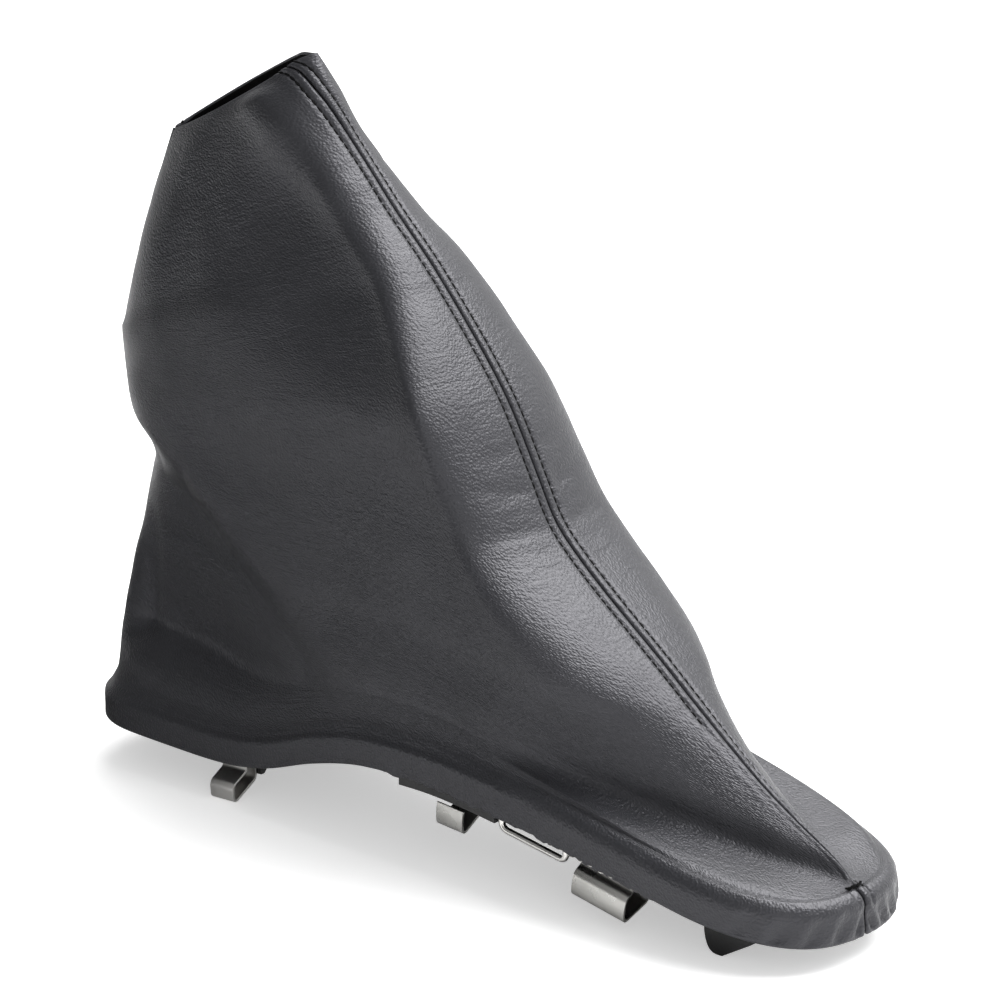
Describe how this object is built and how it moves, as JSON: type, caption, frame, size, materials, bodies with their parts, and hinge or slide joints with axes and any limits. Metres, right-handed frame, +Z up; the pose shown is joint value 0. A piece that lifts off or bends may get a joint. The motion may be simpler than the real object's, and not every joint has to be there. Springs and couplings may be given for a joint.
{
  "type": "handbrake boot",
  "caption": "Sewn leather handbrake boot on an arched plastic frame with steel spring clips; the lever passes up through it.",
  "frame": {"origin": "middle of the part's box, on the plane that it stands on (tail clips and nose lugs)", "axes": "+X towards the nose, which is the lever's pivot end, +Y to the right-hand side of the car, +Z up; the mouth leans to -X"},
  "size_m": [0.2776, 0.071, 0.2232],
  "materials": {
    "leather": "fine-grained black leather, satin",
    "plastic": "black moulded plastic, semi-matt",
    "spring_steel": "satin plated spring steel"
  },
  "bodies": {
    "root": {"frame": "plastic", "left_leather_panel": "leather", "left_tail_clip": "spring_steel", "left_middle_clip": "spring_steel", "left_nose_clip": "spring_steel", "left_wire_spring": "spring_steel", "right_leather_panel": "leather", "right_tail_clip": "spring_steel", "right_middle_clip": "spring_steel", "right_nose_clip": "spring_steel", "right_wire_spring": "spring_steel"}
  },
  "joints": []
}
